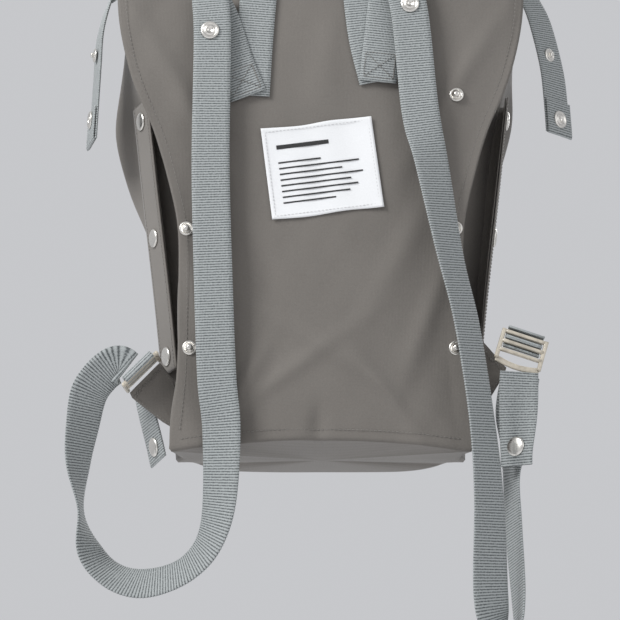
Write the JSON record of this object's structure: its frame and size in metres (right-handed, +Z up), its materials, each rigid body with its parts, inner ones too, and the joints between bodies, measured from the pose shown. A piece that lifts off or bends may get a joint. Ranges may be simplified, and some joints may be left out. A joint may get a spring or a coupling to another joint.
{
  "type": "drum stick bag",
  "caption": "Soft upright backpack-style stick bag with folding side gussets, snap plackets, webbing shoulder straps and a grab handle.",
  "frame": {"origin": "underside of the grab handle's bend, where a hook holds the bag", "axes": "+Z up, -Y the side worn against the back, +X to the right seen from that side"},
  "size_m": [0.4079, 0.1438, 0.6684],
  "materials": {
    "canvas": "plain-woven warm grey cloth",
    "webbing": "ribbed cool grey webbing",
    "label_cloth": "white woven label",
    "snap_metal": "satin nickel",
    "lock_plastic": "cream satin plastic"
  },
  "bodies": {
    "bag": {"back_panel": "canvas", "front_panel": "canvas", "left_gusset": "canvas", "right_gusset": "canvas", "bottom_panel": "canvas", "back_hem": "canvas", "front_hem": "canvas", "label": "label_cloth", "grab_handle": "webbing", "left_edge_studs": "snap_metal", "right_edge_studs": "snap_metal", "left_corner_tab": "canvas", "right_corner_tab": "canvas"},
    "left_placket_flap": {"left_placket": "canvas", "left_placket_caps": "snap_metal"},
    "left_strap": {"left_shoulder_strap": "webbing", "left_strap_socket": "snap_metal"},
    "left_lock": {"left_ladder_lock": "lock_plastic"},
    "left_tail": {"left_strap_tail": "webbing", "left_tail_cap": "snap_metal"},
    "left_mouth_strap": {"left_side_strap": "webbing", "left_side_socket": "snap_metal", "left_side_cap": "snap_metal"},
    "right_placket_flap": {"right_placket": "canvas", "right_placket_caps": "snap_metal"},
    "right_strap": {"right_shoulder_strap": "webbing", "right_strap_socket": "snap_metal"},
    "right_lock": {"right_ladder_lock": "lock_plastic"},
    "right_tail": {"right_strap_tail": "webbing", "right_tail_cap": "snap_metal"},
    "right_mouth_strap": {"right_side_strap": "webbing", "right_side_socket": "snap_metal", "right_side_cap": "snap_metal"}
  },
  "joints": [
    {"name": "left_placket_fold", "type": "hinge", "parent": "bag", "child": "left_placket_flap", "pos_m": [-0.1425, 0.076, -0.3352], "axis": [-0.1262, 0, 0.992], "range_deg": [-40, 14]},
    {"name": "right_placket_fold", "type": "hinge", "parent": "bag", "child": "right_placket_flap", "pos_m": [0.1425, 0.076, -0.3352], "axis": [-0.1262, 0, -0.992], "range_deg": [-40, 14]},
    {"name": "left_strap_swing", "type": "hinge", "parent": "bag", "child": "left_strap", "pos_m": [-0.152, 0.023, -0.4547], "axis": [-0.1523, 0.0551, -0.9868], "range_deg": [0, 20]},
    {"name": "right_strap_swing", "type": "hinge", "parent": "bag", "child": "right_strap", "pos_m": [0.156, 0.026, -0.4592], "axis": [-0.273, -0.0647, 0.9598], "range_deg": [0, 10]},
    {"name": "left_lock_tilt", "type": "hinge", "parent": "bag", "child": "left_lock", "pos_m": [-0.1405, 0.03, -0.4557], "axis": [0.7021, 0, 0.7121], "range_deg": [-3, 10]},
    {"name": "right_lock_tilt", "type": "hinge", "parent": "bag", "child": "right_lock", "pos_m": [0.16, 0.026, -0.4312], "axis": [0.9326, 0, -0.361], "range_deg": [-20, 2]},
    {"name": "left_tail_swing", "type": "hinge", "parent": "left_lock", "child": "left_tail", "pos_m": [-0.143, 0.054, -0.4622], "axis": [0.4654, -0.879, 0.1034], "range_deg": [-7, 1]},
    {"name": "right_tail_swing", "type": "hinge", "parent": "right_lock", "child": "right_tail", "pos_m": [0.154, 0.018, -0.4582], "axis": [0.9671, 0, -0.2545], "range_deg": [-30, 0]},
    {"name": "left_mouth_strap_swing", "type": "hinge", "parent": "bag", "child": "left_mouth_strap", "pos_m": [-0.178, 0.068, -0.1222], "axis": [0.3, -0.9539, 0], "range_deg": [-60, 2]},
    {"name": "right_mouth_strap_swing", "type": "hinge", "parent": "bag", "child": "right_mouth_strap", "pos_m": [0.177, 0.068, -0.1222], "axis": [-0.7502, -0.6612, 0], "range_deg": [-2, 60]}
  ]
}
